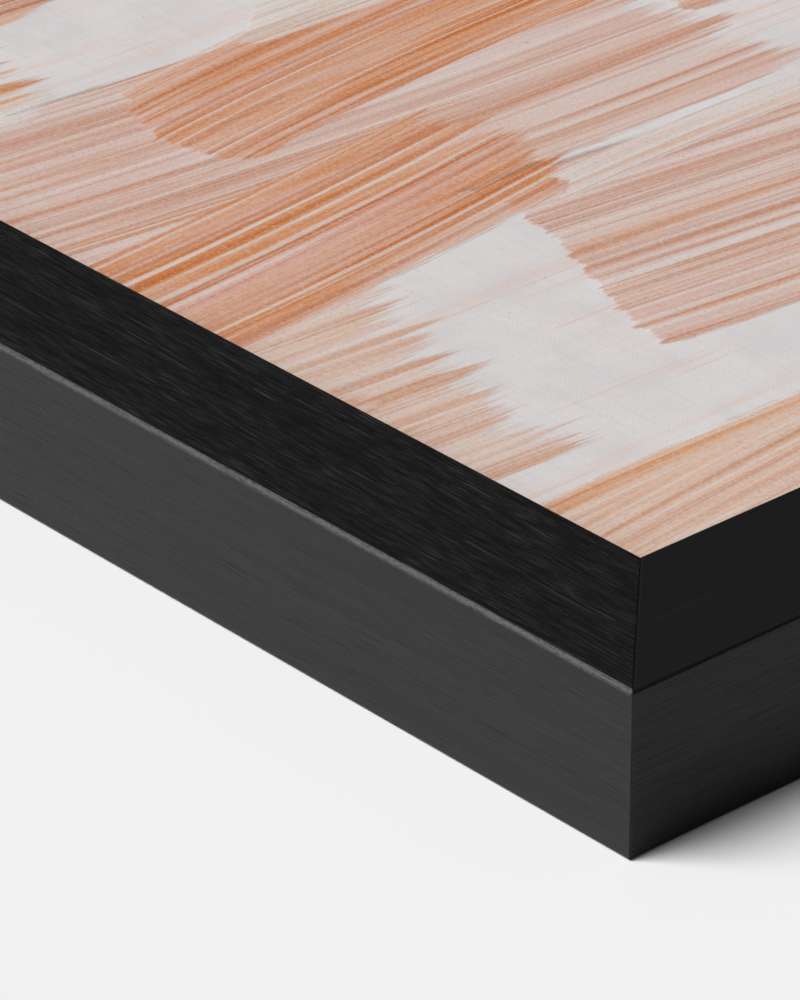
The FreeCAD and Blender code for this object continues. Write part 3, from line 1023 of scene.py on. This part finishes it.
@dataclass
class Canvas:
    """The painted cloth: its face, its sides, the band on the back of the bars, and the corner folds."""

    cloth: float = 0.46 * MM
    nominal: float = 0.50 * MM
    spacing: float = 2.6 * MM
    turn_radius: float = 0.30 * MM
    wall_steps: int = 6
    band: float = 21.9 * MM
    band_rings: tuple[float, ...] = (0.6, 1.5, 3.0, 5.5, 8.5, 11.5, 14.5, 17.5, 20.0)
    sag: float = 0.45 * MM
    sag_power: float = 0.8
    paint_margin: float = 3.0 * MM
    relief: float = 0.16 * MM
    ridge_pitch: float = 6.5 * MM
    ridge_start: float = 7 * MM
    ridge_blur: float = 4 * MM
    fan: int = 5
    fold_levels: tuple[float, ...] = (0.0, 0.0, 1.0, 1.0, 2.0)
    fold_rise: float = 0.50 * MM
    fold_edge: float = 3 * MM
    fold_lead: float = 8 * MM
    fold_blur: float = 6 * MM
    pucker: float = 0.22 * MM
    pucker_pinned: float = 5 * MM
    pucker_blur: float = 18 * MM
    pucker_edge: float = 4 * MM
    fray: float = 0.5 * MM
    fray_step: float = 0.16 * MM
    fray_length: float = 0.4 * MM
    fray_seed: int = 17
    layers: tuple[BrushLayer, ...] = (
        BrushLayer(
            pitch=(0.083, 0.236),
            tilt=-0.06,
            paints=(Paint.PEACH, Paint.PEACH, Paint.ROSE, Paint.APRICOT),
            filled=0.97,
            width_share=(0.82, 1.00),
            length_share=(0.80, 0.99),
            seed=41,
        ),
        BrushLayer(
            pitch=(0.059, 0.158),
            tilt=0.08,
            paints=(Paint.ORANGE, Paint.APRICOT, Paint.PEACH, Paint.CHALK, Paint.ORANGE),
            filled=0.82,
            width_share=(0.45, 0.90),
            length_share=(0.60, 0.92),
            seed=58,
        ),
        BrushLayer(
            pitch=(0.043, 0.121),
            tilt=-0.02,
            paints=(Paint.RUST, Paint.ORANGE, Paint.CHALK, Paint.ROSE),
            filled=0.45,
            width_share=(0.12, 0.42),
            length_share=(0.45, 0.90),
            seed=73,
        ),
    )

    def __post_init__(self) -> None:
        """Takes the cloth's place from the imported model."""
        _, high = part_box("canvas_face")
        back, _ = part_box("canvas_turned_edge")
        self.half_x = high.x - self.nominal / 2
        self.half_y = high.y - self.nominal / 2
        self.top = high.z - self.nominal / 2
        self.bottom = back.z + self.nominal / 2
        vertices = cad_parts["canvas_staples"].data.vertices
        self.staples = KDTree(len(vertices))
        for number, vertex in enumerate(vertices):
            self.staples.insert(vertex.co, number)
        self.staples.balance()

    @property
    def flat_size(self) -> Span:
        """The size that the cloth was cut to."""
        wrap = (self.top - self.bottom) + self.band
        return 2 * (self.half_y + wrap), 2 * (self.half_x + wrap)

    def face_grid(self) -> tuple[np.ndarray, int, int]:
        """Makes the points of the face.

        Returns:
            The points, row by row from the bottom left, and how many steps there are along x and y.
        """
        flat_x = self.half_x - self.turn_radius
        flat_y = self.half_y - self.turn_radius
        steps_x = round(2 * flat_x / self.spacing)
        steps_y = round(2 * flat_y / self.spacing)
        places_x = np.linspace(-flat_x, flat_x, steps_x + 1)
        x, y = np.meshgrid(places_x, np.linspace(-flat_y, flat_y, steps_y + 1))
        middle = np.cos(0.5 * math.pi * x / flat_x) * np.cos(0.5 * math.pi * y / flat_y)
        dip = self.sag * middle**self.sag_power
        return np.stack([x.ravel(), y.ravel(), (self.top - dip).ravel()], 1), steps_x, steps_y

    def rim(self, steps_x: int, steps_y: int) -> list[tuple[int, int, float, int]]:
        """Lists the face's edge points anticlockwise from the bottom left, each corner as a fan.

        Args:
            steps_x: Steps along x.
            steps_y: Steps along y.

        Returns:
            For each: the face point's number, its side, the angle it faces, and its place in a fan or -1.
        """
        row = steps_x + 1
        last = steps_y * row
        sides = (
            range(1, steps_x),
            range(steps_x + row, steps_x + last, row),
            range(last + steps_x - 1, last, -1),
            range(last - row, 0, -row),
        )
        corners = (steps_x, last + steps_x, last, 0)
        made = []
        for side, (points, corner) in enumerate(zip(sides, corners)):
            facing = -math.pi / 2 + side * math.pi / 2
            made += [(point, side, facing, -1) for point in points]
            for copy in range(self.fan):
                turned = facing + 0.5 * math.pi * copy / (self.fan - 1)
                made.append((corner, side, turned, copy))
        return made

    def profile(self) -> list[Triple]:
        """Finds the way from the face's edge round to the band's inner edge.

        Returns:
            For each ring: how far out it lies, its height, and how far in on the back it is.
        """
        turn, top, foot = self.turn_radius, self.top - self.turn_radius, self.bottom + self.turn_radius
        quarter = [(turn * math.sin(a), turn * math.cos(a)) for a in map(math.radians, (30, 60, 90))]
        steps = [step / self.wall_steps for step in range(1, self.wall_steps + 1)]
        rings = [(sine, top + cosine, 0.0) for sine, cosine in quarter]
        rings += [(turn, top + (foot - top) * step, 0.0) for step in steps]
        rings += [(cosine, foot - sine, 0.0) for sine, cosine in quarter]
        depths = [*(MM * depth for depth in self.band_rings), self.band]
        return rings + [(0.0, self.bottom, depth) for depth in depths]

    def band_point(self, x: float, y: float, side: int, copy: int, depth: float) -> Triple:
        """Places a point of the band on the back.

        The band's sides meet on the corner's diagonal. Each corner's spare cloth lies in a flat fold: on
        past the diagonal, back to it, and on again as the next side.

        Args:
            x: The edge point's place along the picture.
            y: The edge point's place up the picture.
            side: Its side.
            copy: Its place in a corner's fan, or -1.
            depth: How far in from the edge it lies.

        Returns:
            The point.
        """
        runs = ((1, 0), (0, 1), (-1, 0), (0, -1))
        edge = (self.half_x - self.turn_radius, self.half_y - self.turn_radius)
        inner = (edge[0] - depth, edge[1] - depth)
        layer = self.fold_rise * min(1.0, depth / self.fold_edge)
        if copy < 0:
            axis = side % 2
            place = [x, y]
            place[axis] = place[axis] * inner[axis] / edge[axis]
            place[1 - axis] -= math.copysign(depth, place[1 - axis])
            to_start = place[axis] * runs[side][axis] + inner[axis]
            level = 2.0 * float(smooth(np.array((depth + self.fold_lead - to_start) / self.fold_blur)))
            return place[0], place[1], self.bottom - level * layer
        reach = depth if copy in (1, 2) else 0.0
        run_x, run_y = runs[(side + 1) % 4]
        return (
            math.copysign(inner[0], x) + reach * run_x,
            math.copysign(inner[1], y) + reach * run_y,
            self.bottom - self.fold_levels[copy] * layer,
        )

    def puckers(self, points: np.ndarray) -> np.ndarray:
        """How far the band stands off the bars at each of these points, pinned flat at the staples."""
        gaps = np.array([self.staples.find(point)[2] for point in points])
        return self.pucker * smooth((gaps - self.pucker_pinned) / self.pucker_blur)

    def mesh(self) -> tuple[np.ndarray, list[Face]]:
        """Builds the cloth's middle surface.

        Returns:
            Its points and its faces.
        """
        points, steps_x, steps_y = self.face_grid()
        faces = grid_faces(steps_x, steps_y)
        rim = self.rim(steps_x, steps_y)
        profile = self.profile()
        rings = [points]
        rng = np.random.default_rng(self.fray_seed)
        frayed = np.cumsum(rng.normal(0, self.fray_step, len(rim)))
        frayed = self.fray * np.sin(frayed / self.fray_length)
        for number, (out, z, depth) in enumerate(profile):
            ring = []
            for place, (point, side, facing, copy) in enumerate(rim):
                x, y, _ = points[point]
                if depth:
                    cut = frayed[place] if number == len(profile) - 1 and copy < 0 else 0.0
                    ring.append(self.band_point(x, y, side, copy, depth + cut))
                else:
                    ring.append((x + out * math.cos(facing), y + out * math.sin(facing), z))
            ring = np.array(ring)
            if depth:
                ring[:, 2] -= self.puckers(ring) * smooth(np.array(depth / self.pucker_edge))
            rings.append(ring)
        count = len(rim)
        before = [point for point, *_ in rim]
        for number in range(len(profile)):
            start = len(points) + number * count
            after = list(range(start, start + count))
            for i in range(count):
                k = (i + 1) % count
                faces.append(tuple(dict.fromkeys((before[i], after[i], after[k], before[k]))))
            before = after
        return np.concatenate(rings), faces

    def paint(self, points: np.ndarray) -> list[BrushField]:
        """Lays the brush layers and raises the ridges of their paint.

        Args:
            points: The cloth's points, which the ridges move.

        Returns:
            What each layer gives each point.
        """
        half = (self.half_x, self.half_y)
        x, y, z = points.T
        on_face = smooth((z - (self.top - 2 * self.sag)) / self.sag)
        inset = np.minimum(half[0] - abs(x), half[1] - abs(y))
        painted = on_face * smooth(inset / self.paint_margin)
        height = self.relief * smooth((inset - self.ridge_start) / self.ridge_blur)
        fields = [BrushField.lay(layer, x, y, half) for layer in self.layers]
        for brush in fields:
            brush.cover *= painted
            turns = brush.place[:, 1] * (2 * math.pi / self.ridge_pitch) + brush.place[:, 2]
            points[:, 2] += height * brush.cover * (0.6 + 0.4 * np.sin(turns))
        return fields

    def build(self) -> None:
        """Builds the cloth, paints it and hands it to the frame."""
        points, faces = self.mesh()
        fields = self.paint(points)
        mesh = bpy.data.meshes.new("painted_canvas")
        mesh.from_pydata(points.tolist(), [], faces)
        for number, brush in enumerate(fields):
            brush.store(mesh, number)
        mesh.shade_smooth()
        mesh.materials.append(PaintedGround(len(fields)).make("painted_ground"))
        mesh.materials.append(RawCotton().make("raw_cotton"))
        cloth = add_object("painted_canvas", mesh)
        skin = cloth.modifiers.new("cloth_thickness", "SOLIDIFY")
        skin.thickness = self.cloth
        skin.offset = 0.0
        skin.material_offset = 1
        skin.material_offset_rim = 1
        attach(cloth, "picture")
        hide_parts("canvas_face", "canvas_turned_edge")
        self.flat_size
        LOG.info("built %s: %d points, flat %.3f by %.3f m", cloth.name, len(points), *self.flat_size)


# ---- Camera, floor and light ----


@dataclass
class CloseView:
    """A long lens over the near corner, where the bottom and right rails meet."""

    azimuth: float = 48.49
    elevation: float = 28.43
    lens: float = 230.2
    away: float = 0.9636
    aside: float = -0.03505
    above: float = 0.0289
    sensor: float = 36.0
    clip: Span = (0.01, 200.0)

    def place(self) -> None:
        """Makes the camera."""
        low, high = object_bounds()
        corner = Vector((high.x, low.y, high.z))
        turn, lift = math.radians(self.azimuth), math.radians(self.elevation)
        back = Vector((math.sin(turn) * math.cos(lift), -math.cos(turn) * math.cos(lift), math.sin(lift)))
        right = Vector((math.cos(turn), math.sin(turn), 0.0))
        up = back.cross(right)
        camera = bpy.data.cameras.new("close_view")
        camera.lens = self.lens
        camera.sensor_width = self.sensor
        camera.clip_start, camera.clip_end = self.clip
        viewer = add_object("close_view", camera)
        viewer.matrix_world = Matrix((right, up, back)).transposed().to_4x4()
        viewer.location = corner + back * self.away + right * self.aside + up * self.above
        bpy.context.scene.camera = viewer
        LOG.info("camera at %s", tuple(round(c, 4) for c in viewer.location))


@dataclass(frozen=True)
class Lamp:
    """A broad, even light from one direction: its direction, its width in degrees, and its strength."""

    name: str
    toward: Triple
    width: float
    strength: float


@dataclass
class Studio:
    """A wide matt white floor, a low key light, a rim light on the near arris, and a pale low horizon."""

    floor_half: float = 60.0
    floor_steps: int = 12
    floor: MattPaint = MattPaint((0.868, 0.868, 0.868))
    horizon: Span = (0.05, 0.12)
    pale: Colour = (0.875, 0.875, 0.875)
    dark: Colour = (0.012, 0.012, 0.0125)
    lamps: tuple[Lamp, ...] = (
        Lamp("key", (-0.241, -0.498, 0.833), 31.0, 3.05),
        Lamp("rim", (-0.660, -0.670, 0.340), 18.0, 0.85),
        Lamp("fill", (0.0, 0.0, 1.0), 100.0, 0.31),
    )

    def lay_floor(self) -> None:
        """Lays the floor under the frame."""
        steps = np.linspace(-self.floor_half, self.floor_half, self.floor_steps + 1)
        points = [(x, y, 0.0) for y in steps for x in steps]
        mesh = bpy.data.meshes.new("studio_floor")
        mesh.from_pydata(points, [], grid_faces(self.floor_steps, self.floor_steps))
        mesh.materials.append(self.floor.make("matt_white"))
        floor = add_object("studio_floor", mesh)
        floor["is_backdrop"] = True

    def hang_lamps(self) -> None:
        """Hangs the lamps."""
        for lamp in self.lamps:
            light = bpy.data.lights.new(lamp.name, "SUN")
            light.energy = lamp.strength
            light.angle = math.radians(lamp.width)
            holder = add_object(lamp.name, light)
            holder.rotation_mode = "QUATERNION"
            holder.rotation_quaternion = Vector(lamp.toward).to_track_quat("Z", "Y")

    def paint_sky(self) -> None:
        """Makes the surroundings: pale up to just over the horizon, then dark."""
        world = bpy.data.worlds.new("studio")
        bpy.context.scene.world = world
        g = Graph(world)
        direction = g.node("ShaderNodeTexCoord", output="Generated")
        _, _, height = g.parts(direction)
        colour = g.mix(height.rise(*self.horizon), self.pale, self.dark)
        light = g.node("ShaderNodeBackground", {}, {"Color": colour, "Strength": 1.0})
        g.node("ShaderNodeOutputWorld", {}, {"Surface": light})

    def build(self) -> None:
        """Builds the floor, the lamps and the surroundings."""
        self.lay_floor()
        self.hang_lamps()
        self.paint_sky()
        LOG.info("studio with %d lamps", len(self.lamps))


def main() -> None:
    """Builds the looks, from the camera to the cloth."""
    logging.basicConfig(level=logging.INFO, format="%(message)s")
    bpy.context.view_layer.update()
    CloseView().place()
    Studio().build()
    Moulding().finish()
    Stretcher().finish()
    Ironwork().finish()
    Canvas().build()
    bpy.context.scene.view_settings.view_transform = "Standard"


if __name__ == "__main__":
    main()
